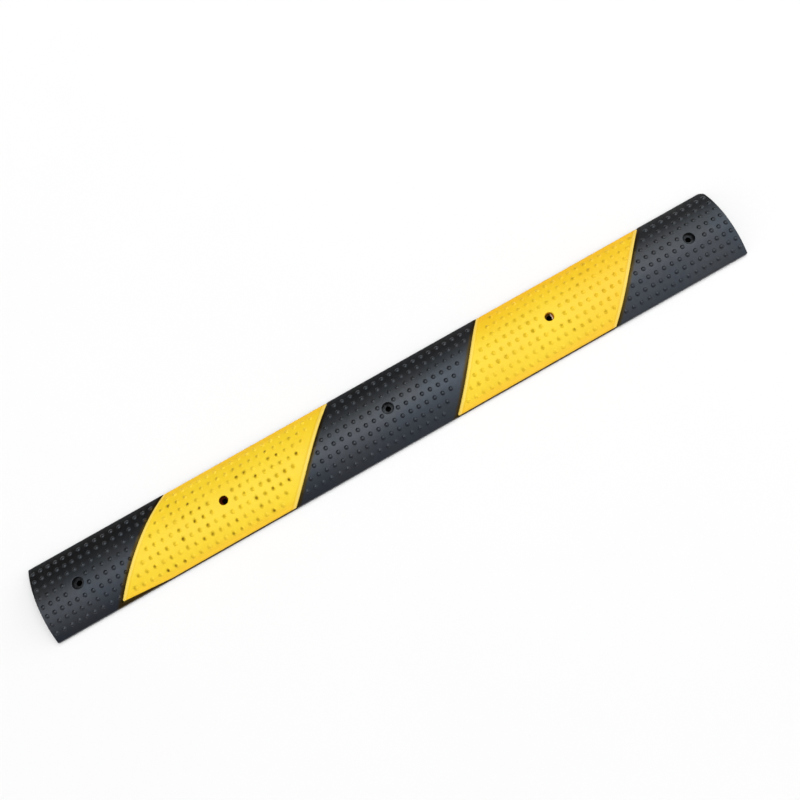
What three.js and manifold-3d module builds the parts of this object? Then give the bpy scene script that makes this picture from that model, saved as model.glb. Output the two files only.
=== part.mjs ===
// Rubber speed bump, one metre module: a black rubber base with an arched top, two yellow rubber
// panels keyed into recesses in it, and five steel washers trapped in its bolt holes.
// Millimetres, +Z up. X runs along the bump, Y across it (along the traffic), and the origin is
// the centre of the underside, on the road surface.
import * as THREE from "three";
import { mergeVertices } from "three/addons/utils/BufferGeometryUtils.js";
import Module from "manifold-3d";

// ---- base -----------------------------------------------------------------------------------
const LENGTH = 1000; // one module
const WIDTH = 103; // across the long edges
const CREST = 20; // road to the crest of the smooth surface
const LIP = 4.5; // upright edge along each long side
const END_CHAMFER = 1.2; // broken edge of the two ends
const CORNER_R = 6; // the +X +Y corner, in plan
const CORNER_SEGMENTS = 6; // the corner's arc is cut into twice as many

// ---- studs ----------------------------------------------------------------------------------
const STUD_R = 2.9; // anti-slip studs, low buttons
const STUD_TOP_R = 1.6;
const STUD_H = 1.25;
const STUD_SIDES = 6;
const STUD_SUNK = 0.5; // carried below the surface, to join it
const STUD_ROWS = 8;
const ROW_PITCH = 12.15; // measured along the arc
const STRIP_HALF = 3.6; // half the width of the flat strip under a row
const COLUMN_PITCH = 11.6;
const END_COLUMN_PITCH = 10.6; // the columns past the inner ones sit closer
const INNER_COLUMNS = 38;
const LAST_COLUMN = 43;
const STUD_HOLE_CLEAR = 13; // studs nearer than this to a bolt hole are left out

// ---- bolt holes and washers -----------------------------------------------------------------
const HOLES = [-443, -236, 0, 236, 443]; // x of the bolt holes, on the crest line
const COUNTERBORE_R = 7.3; // in the black rubber
const PANEL_HOLE_R = 5.8; // in the yellow rubber
const COLLAR_R = 7; // the yellow rubber lines the counterbore down to the washer
const COLLAR_RISE = 0.8; // top of the collar above the recess floor, inside the panel
const MOUTH_BEVEL = 1; // eased rim of each hole's mouth
const BOLT_HOLE_R = 5; // through the rubber under the washer
const WASHER_R = 12;
const WASHER_BORE_R = 3.5;
const WASHER_SEAT_R = 5.6;
const WASHER_T = 2;
const WASHER_TOP = 14; // the bolt head seats here
const WASHER_BOTTOM = WASHER_TOP - WASHER_T;
const WASHER_SLOT_R = 12.3;
const ROUND_SEGMENTS = 32;
const BOLT_HOLE_SEGMENTS = 24;

// ---- panels and recesses: offsets from the base's arc, as [at the crest, at the long edges] ----
const FIT = 0.3; // clearance between separate pieces
const RECESS_GAP = FIT * 1.4; // round a panel, in plan
const RECESS = 2.6; // recess depth at the crest
const RECESS_EDGE = 1.7; // at the long edges
const BASE_TOP = [0, 0];
const PANEL_TOP = [0.8, 0.3];
const RECESS_FLOOR = [-RECESS, -RECESS_EDGE];
const PANEL_UNDERSIDE = [-RECESS + FIT, -RECESS_EDGE + FIT];
const RECESS_CUT_TOP = [8, 8]; // clear of everything above
const BLEND_START = 30; // arc length from the crest where the crest offset starts to change
const PANEL_INSET = 0.4; // panel edge back from the base's side face
const OUTLINE_PITCH = 8; // arc length between points of a panel's ends
const OUTLINE_STEPS = 6; // of them each side of the crest

// ---- ribbed underside -----------------------------------------------------------------------
const POCKET_DEPTH = 7;
const POCKET_INNER_Y = 4;
const POCKET_OUTER_Y = 34;
const POCKET_PITCH = 46; // aimed at; each length between bosses is divided evenly
const RIB = 6;
const END_WALL = 12; // solid rubber at the two ends
const BOSS_HALF = 17; // solid rubber each side of a bolt hole

// ---- overruns of cutting solids ---------------------------------------------------------------
const CUT_BOTTOM = -5;
const CUT_TOP = 40;
const OVERCUT = 1; // past a face that is cut through
const CAP_MARGIN = 9; // round the base
const PANEL_MARGIN = 20; // along X, past a panel's ends
const SKIRT = 3; // of the base blank, below the road

// ---- the arc: s is the arc length from the crest line, positive towards +Y --------------------
const HALF = WIDTH / 2;
const RISE = CREST - LIP;
const ARC_R = (HALF * HALF + RISE * RISE) / (2 * RISE);
const ARC_Z = CREST - ARC_R; // height of the arc's centre
const S_EDGE = ARC_R * Math.asin(HALF / ARC_R);

// Facet edges: one flat strip for each row of studs, and strips between them.
const rowS = (row) => ((STUD_ROWS - 1) / 2 - row) * ROW_PITCH; // row 0 is the one nearest +Y
const halfRows = [3, 2, 1, 0].map(rowS);
const halfStations = [
  0,
  ...halfRows.flatMap((s) => [s - STRIP_HALF, s + STRIP_HALF]),
  S_EDGE,
];
const STATIONS = [...halfStations.slice(1).map((s) => -s).reverse(), ...halfStations];
const WIDE_STATIONS = [-S_EDGE - 5, ...STATIONS, S_EDGE + 5]; // past both long edges

// The [y, z] point at s, `lift` further out than the offsets [crest, edge] put it.
function arcPoint(s, [crest, edge], lift = 0) {
  const t = Math.min(1, Math.max(0, (Math.abs(s) - BLEND_START) / (S_EDGE - BLEND_START)));
  const radius = ARC_R + crest + (edge - crest) * t + lift;
  const angle = s / ARC_R;
  return [radius * Math.sin(angle), ARC_Z + radius * Math.cos(angle)];
}

// Plan y at s; past the long edges the surface counts as level.
function planY(s) {
  if (Math.abs(s) <= S_EDGE) return ARC_R * Math.sin(s / ARC_R);
  return Math.sign(s) * (HALF + (Math.abs(s) - S_EDGE));
}

// ---- layout of the colours --------------------------------------------------------------------
// left and right: x of a panel's -X and +X ends at s.
// cut: the -X -Y corner is cut back, from startS on the -X end to endX on the long edge.
// studs: first and last stud column of each run in a row. Each row starts one column nearer -X.
const PANELS = [
  {
    name: "yellow_panel_left",
    left: (s) => -361.3 + 0.983 * s + 0.0015 * s * s,
    right: (s) => -110.0 + 0.903 * s - 0.0009 * s * s,
    cut: { startS: -49.3, endX: -338 },
    studs: (row) => [[-26 - row, -8 - row]],
  },
  {
    name: "yellow_panel_right",
    left: (s) => 117.1 + 0.793 * s - 0.00095 * s * s,
    right: (s) => 354.3 + 0.892 * s - 0.00046 * s * s,
    studs: (row) => [[15 - row, 33 - row]],
  },
];

// Last column of the black run at the -X end, row by row.
const BLACK_LEFT_ENDS = [-28, -29, -31, -32, -32, -33, -34, -35];
const blackStuds = (row) => [
  [-LAST_COLUMN, BLACK_LEFT_ENDS[row]],
  [-5 - row, 12 - row],
  [35 - row, LAST_COLUMN],
];

const BLACK_RUBBER = { color: 0x2b2d31, roughness: 0.6, metalness: 0 };
const YELLOW_RUBBER = { color: 0xf5c518, roughness: 0.55, metalness: 0 };
const STEEL = { color: 0x9a9a96, roughness: 0.4, metalness: 1 };

// ---- helpers ----------------------------------------------------------------------------------
const wasm = await Module();
wasm.setup();

function solid(geometry) {
  const loose = geometry.index ? geometry.toNonIndexed() : geometry.clone();
  loose.deleteAttribute("normal");
  loose.deleteAttribute("uv");
  const merged = mergeVertices(loose, 1e-4);
  return new wasm.Manifold(
    new wasm.Mesh({
      numProp: 3,
      vertProperties: merged.attributes.position.array,
      triVerts: new Uint32Array(merged.index.array),
    }),
  );
}

function meshOf(name, manifold, material) {
  const { vertProperties, triVerts } = manifold.getMesh();
  const geometry = new THREE.BufferGeometry();
  const positions = new Float32Array(vertProperties);
  geometry.setAttribute("position", new THREE.BufferAttribute(positions, 3));
  geometry.setIndex(new THREE.BufferAttribute(new Uint32Array(triVerts), 1));
  geometry.computeVertexNormals();
  const mesh = new THREE.Mesh(geometry, new THREE.MeshStandardMaterial(material));
  mesh.name = name;
  return mesh;
}

const polygon = (points) => new THREE.Shape(points.map(([x, y]) => new THREE.Vector2(x, y)));

// An extrusion's x, y and depth -> the part's Y, Z and X.
const ALONG_X = new THREE.Matrix4().makeBasis(
  new THREE.Vector3(0, 1, 0),
  new THREE.Vector3(0, 0, 1),
  new THREE.Vector3(1, 0, 0),
);

// A cross-section of [y, z] points, extruded along X from x0 to x1.
function alongX(points, x0, x1, bevel = { bevelEnabled: false }) {
  const geometry = new THREE.ExtrudeGeometry(polygon(points), { depth: x1 - x0, ...bevel });
  geometry.applyMatrix4(ALONG_X);
  geometry.translate(x0, 0, 0);
  return solid(geometry);
}

// A plan shape, extruded up through everything.
function upright(shape) {
  const geometry = new THREE.ExtrudeGeometry(shape, {
    depth: CUT_TOP - CUT_BOTTOM,
    bevelEnabled: false,
    curveSegments: CORNER_SEGMENTS,
  });
  geometry.translate(0, 0, CUT_BOTTOM);
  return solid(geometry);
}

// An upright frustum on the crest line at x.
function frustum(bottomR, topR, z0, z1, x, segments = ROUND_SEGMENTS) {
  const geometry = new THREE.CylinderGeometry(topR, bottomR, z1 - z0, segments);
  geometry.rotateX(Math.PI / 2);
  geometry.translate(x, 0, (z0 + z1) / 2);
  return solid(geometry);
}

const disc = (radius, z0, z1, x, segments) => frustum(radius, radius, z0, z1, x, segments);

// Cutter for the 45 degree rim of a hole whose mouth is at height `top`.
function mouth(radius, top, x) {
  const z0 = top - MOUTH_BEVEL;
  const height = MOUTH_BEVEL + OVERCUT;
  return frustum(radius, radius + height, z0, z0 + height, x);
}

function box(x0, x1, y0, y1, z0, z1) {
  const geometry = new THREE.BoxGeometry(x1 - x0, y1 - y0, z1 - z0);
  geometry.translate((x0 + x1) / 2, (y0 + y1) / 2, (z0 + z1) / 2);
  return solid(geometry);
}

// ---- studs ------------------------------------------------------------------------------------
function columnX(column) {
  const inner = Math.min(Math.abs(column), INNER_COLUMNS);
  const outer = Math.abs(column) - inner;
  return Math.sign(column) * (inner * COLUMN_PITCH + outer * END_COLUMN_PITCH);
}

// One stud: a cone standing on the flat strip of its row, cut off flat by studCap.
function stud(x, s, surface) {
  const slope = STUD_H / (STUD_R - STUD_TOP_R);
  const height = STUD_R * slope;
  const baseR = STUD_R + STUD_SUNK / slope;
  const [y0, z0] = arcPoint(s - STRIP_HALF, surface);
  const [y1, z1] = arcPoint(s + STRIP_HALF, surface);
  const geometry = new THREE.ConeGeometry(baseR, height + STUD_SUNK, STUD_SIDES);
  geometry.rotateX(Math.PI / 2);
  geometry.translate(0, 0, (height - STUD_SUNK) / 2);
  geometry.rotateX(Math.atan2(z1 - z0, y1 - y0));
  geometry.translate(x, (y0 + y1) / 2, (z0 + z1) / 2);
  return solid(geometry);
}

// Everything under the stud tops.
function studCap(surface) {
  const top = STATIONS.map((s) => arcPoint(s, surface, STUD_H));
  const side = HALF + CAP_MARGIN;
  const end = LENGTH / 2 + CAP_MARGIN;
  const edgeZ = top[0][1];
  return alongX(
    [[-side, -CAP_MARGIN], [-side, edgeZ], ...top, [side, edgeZ], [side, -CAP_MARGIN]],
    -end,
    end,
  );
}

// The body with its studs; runsOf gives a row's [first, last] columns.
function withStuds(body, runsOf, surface) {
  for (let row = 0; row < STUD_ROWS; row++) {
    const s = rowS(row);
    for (const [first, last] of runsOf(row)) {
      for (let column = first; column <= last; column++) {
        const x = columnX(column);
        if (HOLES.some((hole) => Math.hypot(x - hole, s) < STUD_HOLE_CLEAR)) continue;
        body = body.add(stud(x, s, surface));
      }
    }
  }
  return body.intersect(studCap(surface));
}

// ---- yellow panels and their recesses -----------------------------------------------------------
// A panel's plan, its ends moved out by `grow` and its long sides at s = -edge and edge.
function outline({ left, right, cut }, grow, edge) {
  const inner = [];
  for (let i = -OUTLINE_STEPS; i <= OUTLINE_STEPS; i++) inner.push(i * OUTLINE_PITCH);
  const stations = [-edge, ...inner, edge];
  const rightSide = stations.map((s) => [right(s) + grow, planY(s)]);
  const leftSide = stations.map((s) => [left(s) - grow, planY(s)]).reverse();
  if (cut) {
    // the cut runs straight to the long edge, and on past it where the recess is open
    const x = left(cut.startS);
    const y = planY(cut.startS) - grow;
    const slope = (cut.endX - x) / (-HALF - grow - y);
    const sideY = planY(-edge);
    leftSide.pop();
    leftSide.push([x - grow, y - grow / slope], [x + slope * (sideY - y), sideY]);
  }
  return polygon([...rightSide, ...leftSide]);
}

const panelSpan = ({ left, right }) => [
  left(-S_EDGE) - PANEL_MARGIN,
  right(S_EDGE) + PANEL_MARGIN,
];

// An arched slab between two surfaces, as long as the panel's span.
function slab(stations, lower, upper, panel) {
  const low = stations.map((s) => arcPoint(s, lower));
  const high = stations.map((s) => arcPoint(s, upper));
  return alongX([...low, ...high.reverse()], ...panelSpan(panel));
}

// The recess is open through both long sides of the base.
function recess(panel) {
  return slab(WIDE_STATIONS, RECESS_FLOOR, RECESS_CUT_TOP, panel)
    .intersect(upright(outline(panel, RECESS_GAP, S_EDGE + 4)));
}

function yellowPanel(panel) {
  const [x0, x1] = panelSpan(panel);
  let body = slab(STATIONS, PANEL_UNDERSIDE, PANEL_TOP, panel)
    .intersect(upright(outline(panel, 0, S_EDGE - PANEL_INSET)));
  body = withStuds(body, panel.studs, PANEL_TOP);
  for (const x of HOLES.filter((hole) => hole > x0 && hole < x1)) {
    body = body
      .add(disc(COLLAR_R, WASHER_TOP + FIT, CREST - RECESS + COLLAR_RISE, x))
      .subtract(disc(PANEL_HOLE_R, 0, CUT_TOP, x))
      .subtract(mouth(PANEL_HOLE_R, CREST + PANEL_TOP[0], x));
  }
  return body;
}

// ---- washers ------------------------------------------------------------------------------------
function washer(x) {
  const profile = [
    [WASHER_BORE_R, 0], [WASHER_R, 0], [WASHER_R, WASHER_T],
    [WASHER_SEAT_R, WASHER_T], // splits the top face into two rings
    [WASHER_BORE_R, WASHER_T], [WASHER_BORE_R, 0],
  ].map(([radius, z]) => new THREE.Vector2(radius, z));
  const ring = new THREE.LatheGeometry(profile, ROUND_SEGMENTS);
  ring.rotateX(Math.PI / 2);
  ring.translate(x, 0, WASHER_BOTTOM);
  return solid(ring);
}

// ---- black rubber base --------------------------------------------------------------------------
// The profile is extruded with its ends bevelled, from below the road, and trimmed to the road,
// so that the bevel follows the arch and the upright edges but not the underside.
function baseBlank() {
  const arch = STATIONS.map((s) => arcPoint(s, BASE_TOP));
  const end = LENGTH / 2 - END_CHAMFER;
  return alongX([[-HALF, -SKIRT], ...arch, [HALF, -SKIRT]], -end, end, {
    bevelThickness: END_CHAMFER,
    bevelSize: END_CHAMFER,
    bevelOffset: -END_CHAMFER,
    bevelSegments: 1,
  }).subtract(box(-LENGTH, LENGTH, -WIDTH, WIDTH, -10, 0));
}

// What is cut off outside the rounded corner.
function cornerCutter() {
  const x = LENGTH / 2 - CORNER_R;
  const y = HALF - CORNER_R;
  const shape = new THREE.Shape();
  shape.moveTo(x, HALF + OVERCUT);
  shape.lineTo(x, HALF);
  shape.absarc(x, y, CORNER_R, Math.PI / 2, 0, true);
  shape.lineTo(LENGTH / 2 + OVERCUT, y);
  shape.lineTo(LENGTH / 2 + OVERCUT, HALF + OVERCUT);
  shape.closePath();
  return upright(shape);
}

// Underside pockets, in two rows, between the bolt bosses.
function pockets() {
  const cutters = [];
  const stops = [
    -LENGTH / 2 + END_WALL,
    ...HOLES.flatMap((x) => [x - BOSS_HALF, x + BOSS_HALF]),
    LENGTH / 2 - END_WALL,
  ];
  for (let i = 0; i < stops.length; i += 2) {
    const span = stops[i + 1] - stops[i];
    const count = Math.max(1, Math.round((span + RIB) / POCKET_PITCH));
    const length = (span - (count - 1) * RIB) / count;
    for (let k = 0; k < count; k++) {
      const x = stops[i] + k * (length + RIB);
      for (const y of [-POCKET_OUTER_Y, POCKET_INNER_Y]) {
        const width = POCKET_OUTER_Y - POCKET_INNER_Y;
        cutters.push(box(x, x + length, y, y + width, -OVERCUT, POCKET_DEPTH));
      }
    }
  }
  return cutters;
}

const boltHole = (x) => [
  disc(BOLT_HOLE_R, -OVERCUT, WASHER_TOP, x, BOLT_HOLE_SEGMENTS),
  disc(COUNTERBORE_R, WASHER_TOP - WASHER_T / 2, CUT_TOP, x),
  mouth(COUNTERBORE_R, CREST, x),
  disc(WASHER_SLOT_R, WASHER_BOTTOM - FIT, WASHER_TOP + FIT, x),
];

function rubberBase() {
  // The studs go on before the recesses are cut, so none hangs over a recess.
  const studded = withStuds(baseBlank().subtract(cornerCutter()), blackStuds, BASE_TOP);
  const cutters = [...PANELS.map(recess), ...pockets(), ...HOLES.flatMap(boltHole)];
  return cutters.reduce((body, cutter) => body.subtract(cutter), studded);
}

// ---- assembly -----------------------------------------------------------------------------------
const speedBump = new THREE.Group();
speedBump.name = "rubber_speed_bump";
speedBump.add(
  ...PANELS.map((panel) => meshOf(panel.name, yellowPanel(panel), YELLOW_RUBBER)),
  ...HOLES.map((x, i) => meshOf(`bolt_washer_${i + 1}`, washer(x), STEEL)),
  meshOf("rubber_base", rubberBase(), BLACK_RUBBER),
);

export default speedBump;
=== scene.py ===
import math

import bpy
import numpy as np
from mathutils import Matrix, Vector, geometry


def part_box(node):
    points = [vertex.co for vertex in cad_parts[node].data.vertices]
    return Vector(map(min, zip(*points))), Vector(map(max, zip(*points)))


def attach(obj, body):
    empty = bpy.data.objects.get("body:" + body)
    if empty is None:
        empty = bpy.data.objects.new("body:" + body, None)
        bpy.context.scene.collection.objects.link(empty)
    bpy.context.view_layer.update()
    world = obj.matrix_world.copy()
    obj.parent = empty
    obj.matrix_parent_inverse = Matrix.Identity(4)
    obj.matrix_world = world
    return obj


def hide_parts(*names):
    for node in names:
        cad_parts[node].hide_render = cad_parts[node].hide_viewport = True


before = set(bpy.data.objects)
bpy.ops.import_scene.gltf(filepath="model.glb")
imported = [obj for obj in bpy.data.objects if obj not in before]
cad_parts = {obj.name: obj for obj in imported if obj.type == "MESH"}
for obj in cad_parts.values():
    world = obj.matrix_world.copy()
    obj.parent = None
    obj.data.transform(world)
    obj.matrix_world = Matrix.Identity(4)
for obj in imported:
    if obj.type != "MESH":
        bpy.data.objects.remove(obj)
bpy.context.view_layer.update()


# The arch
base_low, base_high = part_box("rubber_base")
LENGTH = (base_high.x - base_low.x) * 1000
WIDTH = (base_high.y - base_low.y) * 1000
CREST_Z, LIP_Z = 20.0, 4.5
HALF_WIDTH, RISE = WIDTH / 2, CREST_Z - LIP_Z
ARCH_R = (HALF_WIDTH * HALF_WIDTH + RISE * RISE) / (2 * RISE)
ARCH_Z = CREST_Z - ARCH_R  # the arch's centre line
ARCH_ANGLE = math.asin(HALF_WIDTH / ARCH_R)  # from the crest to a long edge
ARC_EDGE = ARCH_R * ARCH_ANGLE

# Rounded lips along the long edges, rounded ends and the rounded far right corner
LIP_ROUND = 1.6
LIP_TURN = math.pi / 2 - ARCH_ANGLE
LIP_ANGLES = [ARCH_ANGLE + LIP_TURN * j / 3 for j in (1, 2, 3)]
LIP_TANGENT = LIP_ROUND * math.tan(LIP_TURN / 2)
TOP_EDGE = ARC_EDGE - LIP_TANGENT  # arc where the lip starts
SIDE_FOOT = 0.45  # bevel at the bottom of the sides
END_ROUND = 1.2
END_ANGLES = (30, 60, 90)
END_X = LENGTH / 2 - END_ROUND
CORNER_R = 6.0

# Bolt holes and washers
WASHER_BOXES = [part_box("bolt_washer_%d" % n) for n in range(1, 6)]
HOLES = [(low.x + high.x) * 500 for low, high in WASHER_BOXES]
washer_low, washer_high = WASHER_BOXES[0]
WASHER_BOTTOM, WASHER_TOP = washer_low.z * 1000, washer_high.z * 1000
WASHER_R = (washer_high.x - washer_low.x) * 500
WASHER_BORE_R, WASHER_BEVEL = 3.5, 0.25
COUNTERBORE_R, PANEL_HOLE_R, BOLT_R, SLOT_R = 7.3, 5.8, 5.0, 12.2
SLOT_GAP = 0.12  # above and below the washer in its slot
COLLAR_R = 7.0  # the yellow rubber lines the counterbore down to the washer
HOLE_SEGMENTS = 40
# Rounded mouths: how far outside the bore, and how far below the surface
PANEL_MOUTH_OUT = 1.3
PANEL_MOUTH = [(0.85, 0.08), (0.45, 0.32), (0.14, 0.78), (0.0, 1.4)]
BASE_MOUTH_OUT = 1.25
BASE_MOUTH = [(0.8, 0.08), (0.42, 0.3), (0.12, 0.75)]

# Studs: a spherical cap through the apex, with a filleted foot
STUD_H, STUD_R = 1.36, 3.25
STUD_SEGMENTS = 18
STUD_RINGS = [2.98, 2.78, 2.5, 2.1, 1.55, 0.85]
DOME_R = (STUD_R - 0.35) ** 2 / (2 * STUD_H) + STUD_H / 2
FILLET_R = STUD_R - 0.62  # stud radius where the fillet starts
STUD_VARIATION = 0.05  # spread of the studs' heights, as a share
HOLE_CLEAR = 13  # no stud stands closer to a bolt hole
ROW_PITCH, COLUMN_PITCH, END_COLUMN_PITCH, INNER_COLUMNS = 12.15, 11.6, 10.6, 38
# Rows from far to near. First and last column of: the black runs, then the run on each panel.
STUD_ROWS = [
    ([(-43, -28), (-5, 12), (35, 43)], [(-26, -8), (15, 33)]),
    ([(-43, -29), (-6, 11), (34, 43)], [(-27, -9), (14, 32)]),
    ([(-43, -31), (-7, 10), (33, 43)], [(-28, -10), (13, 31)]),
    ([(-43, -32), (-8, 9), (32, 43)], [(-29, -11), (12, 30)]),
    ([(-43, -32), (-9, 8), (31, 43)], [(-30, -12), (11, 29)]),
    ([(-43, -33), (-10, 7), (30, 43)], [(-31, -13), (10, 28)]),
    ([(-43, -34), (-11, 6), (29, 43)], [(-32, -14), (9, 27)]),
    ([(-43, -35), (-12, 5), (28, 43)], [(-33, -15), (8, 26)]),
]
MIDDLE_ROWS = (3, 4)

# Yellow panels, and the recesses they sit in
RAISE, RAISE_EDGE = 0.8, 0.3  # panel top above the arch, at the crest and the long edges
RECESS, RECESS_EDGE = 2.6, 1.7  # depth of the recess, likewise
RAMP_START = 30  # arc where these start to fade
SEAT_GAP = 0.18  # panel to recess floor
SIDE_GAP = 0.4  # panel to recess wall
PANEL_EDGE = ARC_EDGE - 0.4
PANEL_CORNER_R = 1.6
EDGE_ROUND = 1.7
EDGE_INSETS = [0.0, 0.12, 0.4, 0.85, 1.25, EDGE_ROUND]
# A slightly raised border round each panel, fading between two distances from the edge
RIM, RIM_IN, RIM_OUT = 0.24, 3.5, 4.9
BORDER_INSETS = (2.6, 3.5, 3.85, 4.2, 4.55, RIM_OUT)
# Each slanted side is x = a + b * arc + c * arc * arc. The cut corner runs from a tip on the left
# side, given by its arc, to the near edge, given by its x.
PANELS = {
    "left": dict(
        run=0,
        left=(-361.3, 0.983, 0.0015),
        right=(-110.0, 0.903, -0.0009),
        corner=(-49.3, -338.0),
    ),
    "right": dict(
        run=1,
        left=(117.1, 0.793, -0.00095),
        right=(354.3, 0.892, -0.00046),
        corner=None,
    ),
}
INWARD = {"left": 1, "right": -1}
# Recess wall, top to bottom: distance beyond SIDE_GAP and height (None is the recess floor)
WALL_PROFILE = [(0.30, 0.0), (0.10, -0.09), (0.0, -0.32), (-0.07, None)]

# Pockets in the underside
POCKET_DEPTH, POCKET_Y, POCKET_PITCH, RIB, END_WALL, BOSS_HALF = 7.0, (4, 34), 46, 6, 12, 17
POCKET_CORNER_R, POCKET_MIN_R = 3.0, 0.6
POCKET_PROFILE = [(0.0, 0.0), (0.5, 0.35), (5.9, 0.6), (6.6, 0.85), (POCKET_DEPTH, 1.6)]  # z, inset

rng = np.random.default_rng(7)


# ---- Layout on the developed arch ----
def column_x(column):
    count = abs(column)
    inner = min(count, INNER_COLUMNS)
    x = inner * COLUMN_PITCH + (count - inner) * END_COLUMN_PITCH
    return math.copysign(x, column)


def stud_list(run=None):
    """Stud centres (x, arc): the black ones, or those of a yellow panel's run."""
    studs = []
    for n, (black, yellow) in enumerate(STUD_ROWS):
        arc = (3.5 - n) * ROW_PITCH
        for first, last in black if run is None else [yellow[run]]:
            for column in range(first, last + 1):
                x = column_x(column)
                if n in MIDDLE_ROWS and any(math.hypot(x - h, arc) < HOLE_CLEAR for h in HOLES):
                    continue
                studs.append((x, arc))
    return studs


def fade(arc, crest, edge):
    share = min(1.0, max(0.0, (abs(arc) - RAMP_START) / (ARC_EDGE - RAMP_START)))
    return crest + (edge - crest) * share


def raise_at(arc):
    return fade(arc, RAISE, RAISE_EDGE)


def raise_slope(arc):
    return (raise_at(arc + 0.05) - raise_at(arc - 0.05)) / 0.1


def depth_at(arc):
    return fade(arc, RECESS, RECESS_EDGE)


def place(x, arc, height):
    """A point of the developed arch -> X, Y, Z."""
    angle = arc / ARCH_R
    radius = ARCH_R + height
    return (x, radius * math.sin(angle), ARCH_Z + radius * math.cos(angle))


def outward(arc, slope_x, slope_arc):
    """The surface normal where the height has these slopes along X and along the arc."""
    sine, cosine = math.sin(arc / ARCH_R), math.cos(arc / ARCH_R)
    normal = np.array([-slope_x, sine - slope_arc * cosine, cosine + slope_arc * sine])
    return normal / np.linalg.norm(normal)


# ---- Flat geometry ----
def cdt(points, edges):
    """Constrained Delaunay triangles over points, as index triples, anticlockwise."""
    result = geometry.delaunay_2d_cdt([Vector(p) for p in points], edges, [], 0, 1e-6, True)
    faces, origins = result[2], result[3]
    names = [origin[0] if origin else None for origin in origins]
    triangles = []
    for face in faces:
        first, second, third = [names[i] for i in face]
        if None in (first, second, third):
            raise RuntimeError("an outline crosses another")
        (x0, y0), (x1, y1), (x2, y2) = points[first], points[second], points[third]
        area = (x1 - x0) * (y2 - y0) - (y1 - y0) * (x2 - x0)
        if abs(area) < 1e-9:
            continue
        triangles.append((first, second, third) if area > 0 else (first, third, second))
    return triangles


def ring(centre_x, centre_y, radius, count):
    angles = [2 * math.pi * i / count for i in range(count)]
    return [(centre_x + radius * math.cos(t), centre_y + radius * math.sin(t)) for t in angles]


def in_ring(x, y, centre_x, centre_y, radius, count):
    """Whether points are inside the polygon that ring gives."""
    dx, dy = x - centre_x, y - centre_y
    step = 2 * math.pi / count
    angle = np.mod(np.arctan2(dy, dx), step) - step / 2
    return np.hypot(dx, dy) < radius * math.cos(step / 2) / np.cos(angle) - 1e-7


def inside_poly(x, y, polygon):
    """Whether points are inside the polygon."""
    inside = np.zeros(len(x), bool)
    corners = np.array(polygon)
    for (x0, y0), (x1, y1) in zip(corners, np.roll(corners, -1, axis=0)):
        if y0 == y1:
            continue
        inside ^= ((y0 > y) != (y1 > y)) & (x < (x1 - x0) * (y - y0) / (y1 - y0) + x0)
    return inside


def line_distance(x, y, line, closed=True):
    """Distance of points from a line of points."""
    corners = np.array(line)
    best = np.full(len(x), 1e9)
    for i in range(len(corners) if closed else len(corners) - 1):
        start = corners[i]
        step = corners[(i + 1) % len(corners)] - start
        square = max(float(step @ step), 1e-12)
        share = np.clip(((x - start[0]) * step[0] + (y - start[1]) * step[1]) / square, 0, 1)
        away = np.hypot(x - start[0] - share * step[0], y - start[1] - share * step[1])
        best = np.minimum(best, away)
    return best


def point_distance(x, y, line, closed=True):
    return line_distance(np.array([x]), np.array([y]), line, closed)[0]


def filler(x_low, x_high, arc_edge, step):
    """A staggered grid of points."""
    points, row = [], 0
    arc = -arc_edge
    while arc <= arc_edge:
        x = x_low + (step / 2 if row % 2 else 0)
        while x <= x_high:
            points.append((x, arc))
            x += step
        arc += step * 0.8
        row += 1
    return np.array(points)


def clear_of(points, gap, holes, lines=()):
    """The points further than gap from round holes and open lines."""
    x, arc = points.T
    keep = np.ones(len(points), bool)
    for hole_x, hole_arc, radius, *_ in holes:
        keep &= np.hypot(x - hole_x, arc - hole_arc) > radius + gap
    for line in lines:
        keep &= line_distance(x, arc, line, False) > gap
    return points[keep]


def resample(points, step):
    """Points spaced evenly round a closed outline."""
    corners = np.array(points + [points[0]])
    run = np.concatenate([[0], np.cumsum(np.hypot(*np.diff(corners, axis=0).T))])
    at = np.linspace(0, run[-1], int(run[-1] / step), endpoint=False)
    return np.stack([np.interp(at, run, corners[:, 0]), np.interp(at, run, corners[:, 1])], 1)


def bisect(function, low, high):
    for _ in range(60):
        middle = (low + high) / 2
        if (function(low) > 0) == (function(middle) > 0):
            low = middle
        else:
            high = middle
    return (low + high) / 2


# ---- Mesh building ----
class Sheet:
    """A piece of the developed arch to be triangulated. A point is known where its normal is that
    of the smooth surface."""

    def __init__(self, height_at):
        self.height_at = height_at  # function of the arc, for points with no height given
        self.points, self.heights, self.known = [], [], []
        self.edges, self.holes = [], []

    def point(self, x, arc, height=None, known=True):
        self.points.append((x, arc))
        self.heights.append(self.height_at(arc) if height is None else height)
        self.known.append(known)
        return len(self.points) - 1

    def line(self, points, closed=False, heights=None, known=True):
        heights = heights or [None] * len(points)
        ids = [self.point(x, arc, h, known) for (x, arc), h in zip(points, heights)]
        self.edges += zip(ids, ids[1:])
        if closed:
            self.edges.append((ids[-1], ids[0]))
        return ids

    def hole(self, x, arc, radius, count, heights=None, known=True):
        self.holes.append((x, arc, radius, count))
        return self.line(ring(x, arc, radius, count), True, heights, known)

    def triangles(self, outline=None):
        """The triangles inside the outline, if there is one, and outside the holes."""
        triangles = np.array(cdt(self.points, self.edges))
        x, arc = np.array(self.points)[triangles].mean(1).T
        keep = np.ones(len(x), bool) if outline is None else inside_poly(x, arc, outline)
        for hole in self.holes:
            keep &= ~in_ring(x, arc, *hole)
        return triangles[keep]


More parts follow.
